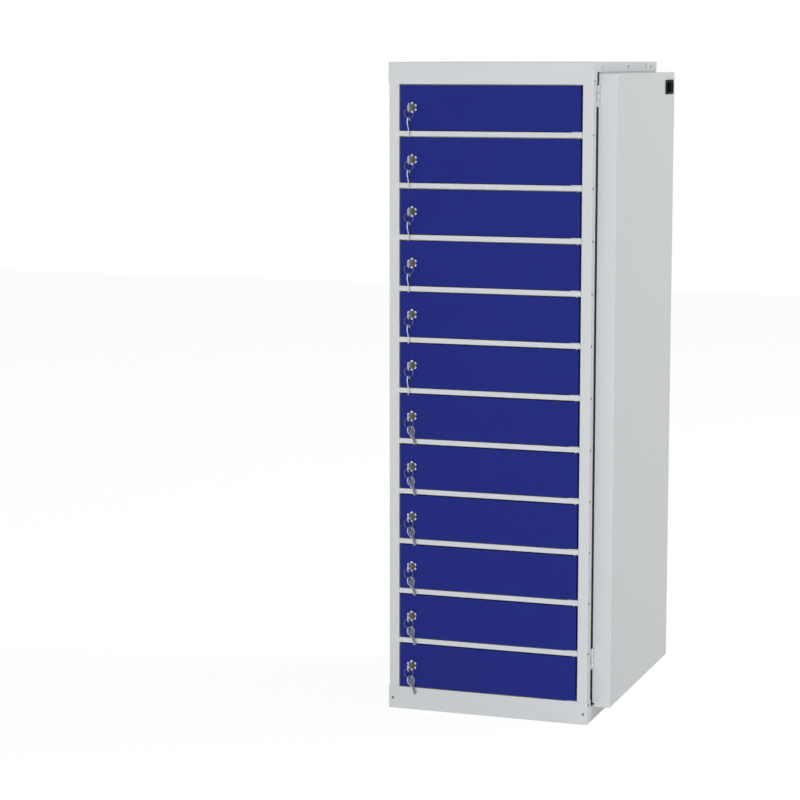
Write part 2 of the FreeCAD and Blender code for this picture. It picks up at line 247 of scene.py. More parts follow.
# shader sums: a socket that takes part in Python expressions
class Shade:
    def __init__(self, tree, socket=None):
        self.tree = tree
        self.socket = socket

    def node(self, kind, settings, sockets, output=0):
        made = self.tree.nodes.new("ShaderNode" + kind)
        for name, value in settings.items():
            setattr(made, name, value)
        for name, value in sockets.items():
            if isinstance(value, Shade):
                self.tree.links.new(value.socket, made.inputs[name])
            else:
                made.inputs[name].default_value = value
        return Shade(self.tree, made.outputs[output] if made.outputs else None)

    def sums(self, operation, first, second):
        return self.node("Math", {"operation": operation}, {0: first, 1: second})

    def __add__(self, other):
        return self.sums("ADD", self, other)

    def __sub__(self, other):
        return self.sums("SUBTRACT", self, other)

    def __rsub__(self, other):
        return self.sums("SUBTRACT", other, self)

    def __mul__(self, other):
        return self.sums("MULTIPLY", self, other)

    def limited(self):
        return self.node("Clamp", {}, {0: self})

    def noise(self, scale, detail, stretch=(1, 1, 1)):
        place = self.node("TexCoord", {}, {}, "Object")
        spread = self.node("Mapping", {}, {"Vector": place, "Scale": stretch})
        return self.node("TexNoise", {}, {"Vector": spread, "Scale": scale, "Detail": detail})

    # 1 on bent and bevelled edges, 0 on faces square to the cabinet
    def edges(self, gain=4):
        facing = self.node("TexCoord", {}, {}, "Normal")
        size = self.node("VectorMath", {"operation": "ABSOLUTE"}, {0: facing})
        x, y, z = [self.node("SeparateXYZ", {}, {0: size}, axis) for axis in "XYZ"]
        most = self.sums("MAXIMUM", self.sums("MAXIMUM", x, y), z)
        return ((1 - most) * gain).limited()

    # a Mix node's colours go in at 6 and 7 and come out at 2
    def mixed(self, factor, first, second):
        return self.node("Mix", {"data_type": "RGBA"}, {0: factor, 6: first, 7: second}, 2)

    def bump(self, height, distance, strength, under=None):
        sockets = {"Height": height, "Distance": distance, "Strength": strength}
        if under:
            sockets["Normal"] = under
        return self.node("Bump", {}, sockets)

    # 1 for rays from the camera, also by way of a mirror or glass, and 0 for light that falls on things
    def seen(self):
        straight, mirrored, through = [self.node("LightPath", {}, {}, "Is " + kind + " Ray")
                                       for kind in ("Camera", "Glossy", "Transmission")]
        return (straight + mirrored + through).limited()


def tint(colour, amount):
    return [min(1.0, c * amount) for c in colour] + [1.0]


def newFinish(name, fixed):
    material = bpy.data.materials.new(name)
    material.use_nodes = True
    shader = material.node_tree.nodes["Principled BSDF"]
    for socket, value in fixed.items():
        shader.inputs[socket].default_value = value
    return material, Shade(material.node_tree), shader


def feed(shade, shader, **links):
    for name, value in links.items():
        shade.tree.links.new(value.socket, shader.inputs[name.replace("_", " ")])


# noises are scale and detail, bump heights are in metres
coatLook = {"ior": 1.5, "cloud": (7.0, 3.0), "peelDetail": 2.0, "peelHigh": 0.00006, "peelShare": 0.5,
            "ripple": (4.0, 1.0), "rippleHigh": 0.004, "roughDrift": 0.08}
wearLook = {"grainDetail": 3.0, "grainHigh": 0.00005, "smear": (60.0, 2.0), "dark": 0.92, "light": 1.06,
            "roughDrift": 0.06}
# the bend values set the painted highlight along the plastic edges
mouldLook = {"ior": 1.46, "spark": (2600.0, 1.0), "sparkHigh": 0.00005, "sparkShare": 0.4,
             "cloud": (45.0, 2.0), "dark": 0.9, "light": 1.12, "bendHighlightShare": 0.4, "bendHighlightTint": 1.8,
             "roughDrift": 0.1}


# powder coat: orange peel, slow sheet ripple, and a painted highlight that lightens the bends, which are also
# a little glossier
def powderCoat(name, look):
    s = coatLook
    material, shade, shader = newFinish(name, {"IOR": s["ior"], "Specular IOR Level": look["gleam"]})
    cloud = shade.noise(*s["cloud"])
    peel = shade.noise(look["peelScale"], s["peelDetail"])
    ripple = shade.noise(*s["ripple"])
    bends = shade.edges()
    dark, light = [tint(look["colour"], 1 + side * look["drift"]) for side in (-1, 1)]
    # the bends' lighter colour is a painted highlight laid over the random cloud tone
    colour = shade.mixed(bends * look["bendHighlightShare"], shade.mixed(cloud, dark, light),
                         tint(look["colour"], look["bendHighlightTint"]))
    rough = cloud * s["roughDrift"] + (look["rough"] - s["roughDrift"] / 2) - bends * s["roughDrift"]
    waves = shade.bump(ripple, s["rippleHigh"], look["ripple"])
    feed(shade, shader, Base_Color=colour, Roughness=rough,
         Normal=shade.bump(peel, s["peelHigh"], s["peelShare"], waves))
    return material


# plated or plain metal with fine wear marks
def metal(name, look):
    s = wearLook
    material, shade, shader = newFinish(name, {"Metallic": 1.0})
    grain = shade.noise(look["grain"], s["grainDetail"], look["stretch"])
    smear = shade.noise(*s["smear"])
    colour = shade.mixed(smear, tint(look["colour"], s["dark"]), tint(look["colour"], s["light"]))
    rough = grain * look["brush"] + smear * s["roughDrift"] + look["rough"]
    feed(shade, shader, Base_Color=colour, Roughness=rough,
         Normal=shade.bump(grain, s["grainHigh"], look["depth"]))
    return material


# moulded plastic: sparked surface, with a painted highlight that makes it paler along the edges
def moulded(name, look):
    s = mouldLook
    material, shade, shader = newFinish(name, {"IOR": s["ior"], "Specular IOR Level": look["gleam"]})
    spark = shade.noise(*s["spark"])
    cloud = shade.noise(*s["cloud"])
    bends = shade.edges()
    plain = shade.mixed(cloud, tint(look["colour"], s["dark"]), tint(look["colour"], s["light"]))
    # the paler edge colour is a painted highlight
    colour = shade.mixed(bends * s["bendHighlightShare"], plain, tint(look["colour"], s["bendHighlightTint"]))
    rough = cloud * s["roughDrift"] + look["rough"]
    feed(shade, shader, Base_Color=colour, Roughness=rough,
         Normal=shade.bump(spark, s["sparkHigh"], s["sparkShare"]))
    return material


# the bend values set the painted highlight that lightens each paint's bends
paints = {
    "grey": {"colour": (0.62, 0.64, 0.65), "gleam": 0.3, "rough": 0.42, "peelScale": 1200.0,
             "drift": 0.012, "ripple": 0.05, "bendHighlightShare": 0.25, "bendHighlightTint": 1.15},
    "blue": {"colour": (0.012, 0.020, 0.190), "gleam": 0.14, "rough": 0.36, "peelScale": 1200.0,
             "drift": 0.06, "ripple": 0.06, "bendHighlightShare": 0.5, "bendHighlightTint": 1.7},
}
metals = {
    "chrome": {"colour": (0.86, 0.86, 0.88), "grain": 900.0, "stretch": (1, 1, 1),
               "brush": 0.05, "rough": 0.05, "depth": 0.05},
    "nickel": {"colour": (0.61, 0.61, 0.61), "grain": 700.0, "stretch": (1, 1, 0.1),
               "brush": 0.08, "rough": 0.26, "depth": 0.15},
    "polished": {"colour": (0.64, 0.65, 0.68), "grain": 700.0, "stretch": (1, 1, 0.1),
                 "brush": 0.05, "rough": 0.08, "depth": 0.05},
    "wire": {"colour": (0.22, 0.22, 0.25), "grain": 900.0, "stretch": (1, 1, 1),
             "brush": 0.10, "rough": 0.14, "depth": 0.1},
    "bronze": {"colour": (0.17, 0.175, 0.15), "grain": 800.0, "stretch": (1, 1, 1),
               "brush": 0.15, "rough": 0.24, "depth": 0.15},
    "zinc": {"colour": (0.56, 0.57, 0.58), "grain": 500.0, "stretch": (1, 1, 0.3),
             "brush": 0.14, "rough": 0.28, "depth": 0.2},
    # the rivet colour is dark as painted shade, standing for the shaded dots of the heads and their holes
    "rivet": {"colour": (0.20, 0.20, 0.21), "grain": 900.0, "stretch": (1, 1, 1),
              "brush": 0.12, "rough": 0.3, "depth": 0.2},
}
plastics = {
    "black": {"colour": (0.008, 0.008, 0.009), "rough": 0.5, "gleam": 0.03},
    "strip": {"colour": (0.05, 0.05, 0.055), "rough": 0.4, "gleam": 0.4},
    "socket": {"colour": (0.006, 0.006, 0.007), "rough": 0.45, "gleam": 0.02},
    "nylon": {"colour": (0.74, 0.74, 0.72), "rough": 0.42, "gleam": 0.4},
}
greyPaint = powderCoat("greyPaint", paints["grey"])
bluePaint = powderCoat("bluePaint", paints["blue"])
chrome = metal("chrome", metals["chrome"])
nickel = metal("nickel", metals["nickel"])
polishedNickel = metal("polishedNickel", metals["polished"])
ringWire = metal("ringWire", metals["wire"])
bronze = metal("bronze", metals["bronze"])
zinc = metal("zinc", metals["zinc"])
shadeDarkRivet = metal("shadeDarkRivet", metals["rivet"])
blackPlastic = moulded("blackPlastic", plastics["black"])
stripPlastic = moulded("stripPlastic", plastics["strip"])
socketPlastic = moulded("socketPlastic", plastics["socket"])
nylon = moulded("nylon", plastics["nylon"])
for node in ("body_wrap", "bay_wall", "shelves"):
    dress(greyPaint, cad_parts[node])
print("finishes mixed")

# what several pieces are set out from; doors are numbered from the top
cabinet = {"half": 190.0, "front": -230.0, "rear": 230.0, "height": 1186.0, "sheet": sheetLook["thick"],
           "doors": 12, "pitch": 92.9167, "plinth": 41.5, "fascia": 39.0, "rail": 9.5, "opening": 83.4167,
           "frameDeep": 18.0, "returnRear": -206.0}
frameFront = cabinet["front"] + cabinet["sheet"]
frameRear = frameFront + cabinet["frameDeep"]
underCap = cabinet["height"] - cabinet["sheet"]
fasciaFoot = cabinet["height"] - cabinet["fascia"]


def openingBottom(number):
    return cabinet["plinth"] + (cabinet["doors"] - number) * cabinet["pitch"]


def doorMiddle(number):
    return openingBottom(number) + cabinet["opening"] / 2


doorNumbers = range(1, cabinet["doors"] + 1)
labels = [(number, f"{number:02d}") for number in doorNumbers]
railLevels = [openingBottom(number) - cabinet["rail"] / 2 for number in doorNumbers[:-1]]
lowest = doorMiddle(cabinet["doors"])

# front frame: two uprights, a header, a sill and eleven rails
frameLook = {"openingHalf": 170.0, "wall": 188.8, "uprightBend": 1.5, "railBend": 1.5, "stop": 3.2}


def makeUpright(side):
    x0, x1 = sorted((side * frameLook["openingHalf"], side * frameLook["wall"]))
    upright = bar("upright", (x0, frameFront, cabinet["sheet"]), (x1, frameRear, underCap))
    deleteFaces(upright, lambda spot, facing: facing.y > mostly or abs(facing.z) > mostly)
    if side > 0:  # the hinges sit on a deeper return
        openPiece(upright, "VERT", lambda spot: spot.x > x1 - near and spot.y > frameRear - near)
        bpy.ops.transform.translate(value=(0, (cabinet["returnRear"] - frameRear) * mm, 0))
        closePiece()
    foldSheet(upright, frameLook["uprightBend"])
    return smooth(upright)


def makeRail(bottom, top, stop):
    half = frameLook["openingHalf"]
    rail = bar("rail", (-half, frameFront, bottom), (half, frameRear, top))
    deleteFaces(rail, lambda spot, facing: facing.y > mostly or abs(facing.x) > mostly)
    if stop:  # a short lip behind the head of the door below
        pushEdges(rail, lambda a, b: min(a.y, b.y) > frameRear - near and max(a.z, b.z) < bottom + near,
                  z=-stop)
    foldSheet(rail, frameLook["railBend"])
    return smooth(rail)


header = makeRail(fasciaFoot, underCap, frameLook["stop"])
sill = makeRail(cabinet["sheet"], cabinet["plinth"], 0)
rails = [makeRail(level - cabinet["rail"] / 2, level + cabinet["rail"] / 2, frameLook["stop"])
         for level in railLevels]
frontFrame = join("frontFrame", makeUpright(-1), makeUpright(1), header, sill, *rails)
dress(greyPaint, frontFrame)
seat(frontFrame, "carcass", "grey_paint", "front_frame")
print("front frame done")

# top cap and base: shallow folded trays, deeper across the front, with a slanting seam at each front corner
trayLook = {"bend": 1.6, "capRim": 17.5, "baseRim": 28.0, "seam": 1.2, "seamDepth": 0.9, "seamMargin": 1.7,
            "linkHole": 3.5, "linkPlaces": (56.0, 244.0, 374.0, 413.0), "drillReach": 200.0}


def makeTray(name, bottom, top, notch, openDown):
    half, front, rear = cabinet["half"], cabinet["front"], cabinet["returnRear"]
    tray = bar(name, (-half, front, bottom), (half, cabinet["rear"], top))
    sliceAt(tray, (0, 0, notch), (0, 0, 1))
    sliceAt(tray, (0, rear, 0), (0, 1, 0))
    away = -1 if openDown else 1
    deleteFaces(tray, lambda spot, facing: facing.z * away > mostly
                or ((spot.z - notch) * away > 0 and spot.y > rear))
    foldSheet(tray, trayLook["bend"])
    corner = top if openDown else bottom
    lean = math.atan2(notch - corner, rear - front)
    length = math.hypot(notch - corner, rear - front) - 2 * trayLook["seamMargin"]
    middleY, middleZ = (front + rear) / 2, (corner + notch) / 2
    depth, width = trayLook["seamDepth"], trayLook["seam"]
    cutAway(tray, *[bar("seam", (side * half - depth, middleY - length / 2, middleZ - width / 2),
                        (side * half + depth, middleY + length / 2, middleZ + width / 2), (lean, 0, 0))
                    for side in (-1, 1)])
    return tray


def makeDrill(place):
    reach = trayLook["drillReach"]
    y, z = cabinet["front"] + place, cabinet["height"] - trayLook["capRim"] / 2
    return post("drill", trayLook["linkHole"], (-reach, y, z), (reach, y, z))


topCap = makeTray("topCap", fasciaFoot, cabinet["height"], cabinet["height"] - trayLook["capRim"],
                  openDown=True)
cutAway(topCap, *[makeDrill(place) for place in trayLook["linkPlaces"]])
basePlinth = makeTray("basePlinth", 0.0, cabinet["plinth"], trayLook["baseRim"], openDown=False)
for tray, node in ((topCap, "top_cap"), (basePlinth, "base_plinth")):
    dress(greyPaint, tray)
    smooth(tray)
    seat(tray, "carcass", "grey_paint", node)
print("cap and base done")

# blind rivets: along both sides, at the foot of the fascia and on the plinth
rivetLook = {"head": 2.4, "proud": 1.0, "shank": 2.0, "sides": 16, "dome": 0.8, "domeSteps": 3, "shading": 50,
             "bore": ((0.7, 0.0), (0.1, -0.5)), "fromEdge": 6.0, "footInset": 8.0, "footLevel": 19.5}


def makeRivet(place, facing):
    place, facing = Vector(place), Vector(facing)
    crown = place + facing * rivetLook["proud"]
    rivet = post("rivet", rivetLook["head"], place - facing * rivetLook["shank"], crown, rivetLook["sides"])
    top = crown.dot(facing) - near
    bevelEdges(rivet, lambda a, b: min(a.dot(facing), b.dot(facing)) > top,
               rivetLook["dome"], rivetLook["domeSteps"])
    dish(rivet, lambda spot, normal: normal.dot(facing) > squarely and spot.dot(facing) > top,
         *rivetLook["bore"])
    return rivet


rivetSpots = []
for side in (-1, 1):
    foot = (side * (cabinet["half"] - rivetLook["footInset"]), cabinet["front"], rivetLook["footLevel"])
    rivetSpots.append((foot, (0, -1, 0)))
    for level in (cabinet["plinth"] - rivetLook["fromEdge"], fasciaFoot + rivetLook["fromEdge"]):
        place = (side * cabinet["half"], cabinet["front"] + rivetLook["fromEdge"], level)
        rivetSpots.append((place, (side, 0, 0)))
    for level in railLevels:
        place = (side * frameLook["wall"], frameFront + rivetLook["fromEdge"], level)
        rivetSpots.append((place, (side, 0, 0)))
rivets = join("blindRivets", *[makeRivet(place, facing) for place, facing in rivetSpots])
# the rivets are dressed in a dark colour that is painted shade
dress(shadeDarkRivet, rivets)
smooth(rivets, rivetLook["shading"])
seat(rivets, "carcass", "rivet_metal", "rivets")
print("rivets done:", len(rivetSpots))

# doors: folded pans on two pivot pins; doors, locks and plugs are made at the lowest door and copied up
doorLook = {"bend": 1.6, "footPin": 4.95, "headPin": 5.75, "pinInside": 8.0, "pinRadius": 2.0, "pinSides": 24,
            "pinEdge": 0.4, "pinSteps": 3, "pivot": (162.0, -223.8)}


def makePin(start, end):
    pin = post("pin", doorLook["pinRadius"], (*doorLook["pivot"], start), (*doorLook["pivot"], end),
               doorLook["pinSides"])
    roundEdges(pin, doorLook["pinEdge"], doorLook["pinSteps"])
    dress(zinc, pin)
    return smooth(pin)


def makeDoor():
    low, high = [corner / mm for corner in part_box("door_12")]
    low.z += doorLook["footPin"]
    high.z -= doorLook["headPin"]
    leaf = bar("leaf", low, high)
    deleteFaces(leaf, lambda spot, facing: facing.y > mostly)
    foldSheet(leaf, doorLook["bend"])
    dress(bluePaint, leaf)
    smooth(leaf)
    footPin = makePin(low.z - doorLook["footPin"], low.z + doorLook["pinInside"])
    headPin = makePin(high.z - doorLook["pinInside"], high.z + doorLook["headPin"])
    return join("door", leaf, footPin, headPin)


door = makeDoor()
for number, label in labels:
    leaf = twin(door, "door" + label, (0, 0, doorMiddle(number) - lowest))
    seat(leaf, "door_" + label, "blue_paint", "door_" + label)
discard(door)
print("doors done")

# small plates that the doors' lower pivots stand on
plateLook = {"left": 151.0, "right": 168.6, "front": -228.6, "rear": -215.0, "thick": 0.9, "edge": 0.3}


def makePlate(level):
    plate = bar("plate", (plateLook["left"], plateLook["front"], level),
                (plateLook["right"], plateLook["rear"], level + plateLook["thick"]))
    roundEdges(plate, plateLook["edge"])
    return plate


pivotPlates = join("pivotPlates", *[makePlate(openingBottom(number)) for number in doorNumbers])
dress(nylon, pivotPlates)
smooth(pivotPlates)
seat(pivotPlates, "carcass", "grey_paint")
print("pivot plates done")

# cam locks: dished and fluted chrome bezel, flatted barrel and fixing nut
lockLook = {"x": -145.0, "front": -231.0, "bezel": 9.5, "shoulder": 1.0, "shoulderSteps": 4, "rim": 0.35,
            "dish": 0.9, "seat": 6.35, "well": 0.6, "edge": 0.3, "sides": 48, "cutAngle": 50,
            "flutes": 6, "flute": 3.4, "fluteOut": 10.4, "fluteSides": 24, "fluteOver": 2.0,
            "barrel": 7.9, "flat": 6.9, "barrelRear": -210.8,
            "nut": 11.5, "nutFront": -227.6, "nutRear": -223.6, "nutEdge": 0.6, "nutSides": 6}


def makeFlute(i):
    s = lockLook
    angle = (i + 0.5) * 2 * math.pi / s["flutes"]
    x, z = s["x"] + s["fluteOut"] * math.sin(angle), lowest + s["fluteOut"] * math.cos(angle)
    return post("flute", s["flute"], (x, s["front"] - s["fluteOver"], z), (x, frameFront + s["fluteOver"], z),
                s["fluteSides"])


def makeLock():
    s = lockLook
    x, z, front = s["x"], lowest, s["front"]
    bezel = post("bezel", s["bezel"], (x, front, z), (x, frameFront, z), s["sides"])
    bevelEdges(bezel, lambda a, b: max(a.y, b.y) < front + near, s["shoulder"], s["shoulderSteps"])
    openPiece(bezel, "FACE", lambda spot, facing: facing.y < -squarely)
    inset(s["rim"])
    inset(s["bezel"] - s["shoulder"] - s["rim"] - s["seat"], -s["dish"])
    push(y=s["well"])
    closePiece()
    cutAway(bezel, *[makeFlute(i) for i in range(s["flutes"])])
    roundEdges(bezel, s["edge"], angle=s["cutAngle"])
    barrel = post("barrel", s["barrel"], (x, frameFront, z), (x, s["barrelRear"], z), s["sides"])
    for side in (-1, 1):
        sliceAt(barrel, (x + side * s["flat"], 0, 0), (side, 0, 0), use_fill=True, clear_outer=True)
    roundEdges(barrel, s["edge"])
    nut = post("nut", s["nut"], (x, s["nutFront"], z), (x, s["nutRear"], z), s["nutSides"])
    roundEdges(nut, s["nutEdge"])
    dress(chrome, bezel)
    dress(zinc, barrel, nut)
    return join("lock", smooth(bezel), smooth(barrel), smooth(nut))


lock = makeLock()
for number, label in labels:
    copy = twin(lock, "lock" + label, (0, 0, doorMiddle(number) - lowest))
    seat(copy, "door_" + label, "lock_chrome", "lock_" + label)
discard(lock)
print("locks done")

# keys: one flat key, hole at the origin and blade down, is copied to every place
keyLook = {"thick": 1.8, "step": 0.08, "bow": 9.0, "bowDrop": 4.0, "bowSides": 48, "bowEdge": 0.15,
           "bowSteps": 1, "rim": ((1.1, 0.0), (0.2, -0.25)), "hole": 2.75, "holeSides": 24, "holeY": -247.8,
           "cutAngle": 50, "shoulder": 11.0, "neck": 15.0, "neckFrom": 6.0, "neckEdge": 0.5,
           "blade": 6.5, "bladeFrom": 7.0, "reach": 31.0, "tip": 1.5, "bits": 4, "bit": 1.56, "bitSides": 4,
           "bitOut": 0.2, "groove": 1.3, "grooveFrom": -1.4, "grooveDepth": 0.4, "cutReach": 3.0, "over": 1.0}


def makeBow(half):
    s = keyLook
    bow = post("bow", s["bow"], (-half, 0, -s["bowDrop"]), (half, 0, -s["bowDrop"]), s["bowSides"])
    for side in (-1, 1):  # a raised rim round the bow
        dish(bow, lambda spot, facing: facing.x * side > squarely, *s["rim"])
    cutAway(bow, post("hole", s["hole"], (-s["cutReach"], 0, 0), (s["cutReach"], 0, 0), s["holeSides"]))
    return bow


def makeBlade(half):
    s = keyLook
    edge, reach = s["blade"] / 2, s["reach"]
    blade = bar("blade", (-half, -edge, -reach), (half, edge, -s["bowDrop"] - s["bladeFrom"]))
    bevelEdges(blade, lambda a, b: max(a.z, b.z) < -reach + near and abs(a.y - b.y) < near, s["tip"])
    pitch = (reach - s["bowDrop"] - s["bow"]) / (s["bits"] + 1)
    cuts = []
    for i in range(s["bits"]):
        y, z = edge + s["bitOut"], -reach + (i + 1) * pitch
        cuts.append(post("bit", s["bit"], (-s["cutReach"], y, z), (s["cutReach"], y, z), s["bitSides"]))
    for side in (-1, 1):
        left, right = sorted((side * (half - s["grooveDepth"]), side * (half + s["over"])))
        cuts.append(bar("groove", (left, s["grooveFrom"], -reach - s["over"]),
                        (right, s["grooveFrom"] + s["groove"], -s["neck"] - s["over"])))
    cutAway(blade, *cuts)
    return blade


def makeKey():
    s = keyLook
    half = s["thick"] / 2
    bow = makeBow(half)
    half -= s["step"]  # each part a touch thinner than the last, so that no faces lie in one plane
    neck = bar("neck", (-half, -s["shoulder"] / 2, -s["neck"]),
               (half, s["shoulder"] / 2, -s["bowDrop"] - s["neckFrom"]))
    roundEdges(neck, s["neckEdge"])
    blade = makeBlade(half - s["step"])
    roundEdges(bow, s["bowEdge"], s["bowSteps"], s["cutAngle"])
    key = join("flatKey", smooth(bow), smooth(neck), smooth(blade))
    dress(nickel, key)
    return key


# the turning plug with its keyway, the cam behind the door and the cam's screw
plugLook = {"front": -230.7, "rear": -210.2, "collar": 6.25, "collarSides": 48, "collarDeep": 1.2,
            "rings": ((0.5, 0.0), (0.25, -0.25), (0.25, 0.25)), "plug": 5.0, "plugFrom": 1.0,
            "keyway": (2.1, 7.0, 8.0), "over": 1.0,
            "cam": (12.0, 2.0, 32.2), "camRound": 0.495, "camSteps": 8, "camEdge": 0.3,
            "screw": 4.0, "screwHigh": 2.5, "screwEdge": 0.8, "screwSteps": 3,
            "slot": 0.9, "slotReach": 5.0, "slotFloor": 1.4, "slotTop": 4.0}


def makePlug():
    s = plugLook
    x, z, front, rear = lockLook["x"], lowest, s["front"], s["rear"]
    face = post("face", s["collar"], (x, front, z), (x, front + s["collarDeep"], z), s["collarSides"])
    dish(face, lambda spot, facing: facing.y < -squarely, *s["rings"])
    core = post("core", s["plug"], (x, front + s["plugFrom"], z), (x, rear, z))
    wide, tall, deep = s["keyway"]
    cutAway(face, bar("keyway", (x - wide / 2, front - s["over"], z - tall / 2),
                      (x + wide / 2, front + deep, z + tall / 2)))
    wide, thick, reach = s["cam"]
    cam = bar("cam", (x - wide / 2, rear, z - reach), (x + wide / 2, rear + thick, z + wide / 2))
    bevelEdges(cam, lambda a, b: abs(a.y - b.y) > near, wide * s["camRound"], s["camSteps"])
    roundEdges(cam, s["camEdge"])
    rear += thick
    screw = post("screw", s["screw"], (x, rear, z), (x, rear + s["screwHigh"], z))
    roundEdges(screw, s["screwEdge"], s["screwSteps"])
    cutAway(screw, bar("slot", (x - s["slotReach"], rear + s["slotFloor"], z - s["slot"] / 2),
                       (x + s["slotReach"], rear + s["slotTop"], z + s["slot"] / 2)))
    dress(bronze, face, core)
    dress(zinc, cam, screw)
    return join("plug", smooth(face), smooth(core), smooth(cam), smooth(screw))


flatKey = makeKey()
plug = makePlug()
for number, label in labels:
    level = doorMiddle(number)
    core = twin(plug, "plug" + label, (0, 0, level - lowest))
    key = twin(flatKey, "key" + label, (lockLook["x"], keyLook["holeY"], level), (quarterTurn, 0, 0))
    turned = join("key" + label, key, core)
    seat(turned, "key_" + label, "key_nickel", "key_" + label)
discard(plug)
print("keys done")

# split rings of two coils, each with a spare key hanging from it; the lower ones are turned and lean
ringLook = {"radius": 8.5, "wire": 0.38, "wireSides": 10, "coils": 2, "coilSteps": 48, "rise": 2.04,
            "weld": 0.01, "drop": 1.75, "turnedFrom": 7, "turn": -25.0, "lean": 18.0}


def makeRing():
    rise = ringLook["wire"] * ringLook["rise"]
    bpy.ops.object.select_all(action="DESELECT")
    bpy.ops.mesh.primitive_circle_add(vertices=ringLook["wireSides"], radius=ringLook["wire"] * mm,
                                      location=(ringLook["radius"] * mm, 0, 0), rotation=(math.pi / 2, 0, 0))
    ring = settle("ring")
    coil = ring.modifiers.new("coil", "SCREW")
    coil.angle = 2 * math.pi
    coil.iterations = ringLook["coils"]
    coil.screw_offset = rise * mm
    coil.steps = ringLook["coilSteps"]
    coil.render_steps = ringLook["coilSteps"]
    coil.use_merge_vertices = False
    applyAll(ring)
    openPiece(ring, "VERT", lambda spot: True)
    bpy.ops.mesh.remove_doubles(threshold=ringLook["weld"] * mm)
    bpy.ops.mesh.select_all(action="SELECT")
    bpy.ops.mesh.fill_holes(sides=0)
    bpy.ops.mesh.select_all(action="SELECT")
    bpy.ops.mesh.normals_make_consistent(inside=False)
    closePiece()
    dress(ringWire, ring)
    upright = twin(smooth(ring), "splitRing", (0, rise, 0), (quarterTurn, 0, 0))
    discard(ring)
    return upright


ring = makeRing()
hang = ringLook["drop"] + ringLook["radius"]
straightSpare = twin(flatKey, "straightSpare", (0, 0, -hang))
dress(polishedNickel, straightSpare)
turnedSpare = twin(flatKey, "turnedSpare", (0, 0, -hang), (0, 0, ringLook["turn"]))
leaningSpare = twin(turnedSpare, "leaningSpare", (0, 0, 0), (0, -ringLook["lean"], 0))
for number, label in labels:
    place = (lockLook["x"], keyLook["holeY"], doorMiddle(number) - hang)
    hanging = leaningSpare if number >= ringLook["turnedFrom"] else straightSpare
    hung = join("spareKey" + label, twin(hanging, "spare", place), twin(ring, "loop", place))
    seat(hung, "spare_key_" + label, "key_nickel", "spare_key_" + label)
discard(straightSpare, turnedSpare, leaningSpare, ring, flatKey)
print("spare keys done")

# side cover over the charging bay: a deep folded pan with a rear lip and the hinges' moving knuckles
# hinges and inlet are set out here too, since the cover has their knuckles and hole
coverLook = {"low": (190.6, -185.0, 23.0), "high": (220.4, 252.0, 1166.0), "bend": 2.2, "lipFrom": 231.0,
             "flangeTo": 187.0, "flangeFrom": 30.5}
hingeLook = {"x": 186.6, "y": -190.0, "levels": (114.0, 1126.5), "tall": 38.0, "knuckles": 3, "knuckle": 4.0,
             "edge": 0.4, "neckEdge": 0.3, "weld": 0.3, "slack": 0.3, "leaf": 2.0, "fixedLeaf": 12.0,
             "pin": 2.0, "headOut": 0.8, "headSunk": 0.2, "headHigh": 0.8, "headEdge": 0.4, "headSteps": 3}
inletLook = {"near": 176.5, "far": 236.5, "low": 1125.0, "high": 1152.0, "face": 222.4, "split": 219.5,
             "hole": 1.9, "holeReach": 5.0, "corner": 2.6, "cornerSteps": 5, "edge": 0.5, "cutAngle": 50,
             "border": 2.0, "bodyBack": 197.4, "bodyFront": 0.5, "bodyEdge": 0.6,
             "socket": (30.0, 19.0, 17.0), "socketCut": 5.0, "over": 2.0,
             "drawer": 3.1, "drawerGap": 0.1, "drawerProud": 0.8, "drawerEdge": 0.6, "drawerSteps": 3,
             "notch": (4.0, 9.0), "notchHalf": 3.0, "notchDeep": 0.6,
             "blade": (10.0, 2.0, 4.0), "bladeEdge": 0.5, "pitch": 7.0, "rises": (-1.0, 2.4, -1.0)}
knuckleHalf = hingeLook["tall"] / (2 * hingeLook["knuckles"])


def makeKnuckle(low, high):
    s = hingeLook
    knuckle = post("knuckle", s["knuckle"], (s["x"], s["y"], low), (s["x"], s["y"], high))
    roundEdges(knuckle, s["edge"])
    return knuckle


def makeMovingKnuckle(level):
    s = hingeLook
    low, high = level - knuckleHalf + s["slack"], level + knuckleHalf - s["slack"]
    knuckle = makeKnuckle(low, high)
    neck = bar("neck", (s["x"], s["y"], low + s["slack"]),
               (s["x"] + s["knuckle"], coverLook["low"][1] + s["weld"], high - s["slack"]))
    roundEdges(neck, s["neckEdge"])
    dress(greyPaint, neck, knuckle)
    return [smooth(knuckle), smooth(neck)]


def makeCover():
    pan = bar("pan", coverLook["low"], coverLook["high"])
    (inner, front, _), (outer, rear, _) = coverLook["low"], coverLook["high"]
    deleteFaces(pan, lambda spot, facing: facing.x < -mostly)
    pushEdges(pan, lambda a, b: max(a.x, b.x) < inner + near and min(a.y, b.y) > rear - near,
              y=coverLook["lipFrom"] - rear)
    sliceAt(pan, (0, 0, coverLook["flangeFrom"]), (0, 0, 1))
    pushEdges(pan, lambda a, b: max(a.x, b.x) < inner + near and max(a.y, b.y) < front + near
              and min(a.z, b.z) > coverLook["flangeFrom"] - near, x=coverLook["flangeTo"] - inner)
    foldSheet(pan, coverLook["bend"])
    s = inletLook
    cutAway(pan, bar("hole", (outer - s["holeReach"], s["near"] + s["hole"], s["low"] + s["hole"]),
                     (outer + s["holeReach"], s["far"] - s["hole"], s["high"] - s["hole"])))
    dress(greyPaint, pan)
    knuckles = [piece for level in hingeLook["levels"] for piece in makeMovingKnuckle(level)]
    return join("sideCover", smooth(pan), *knuckles)


sideCover = makeCover()
seat(sideCover, "cover", "grey_paint", "side_cover")
print("side cover done")


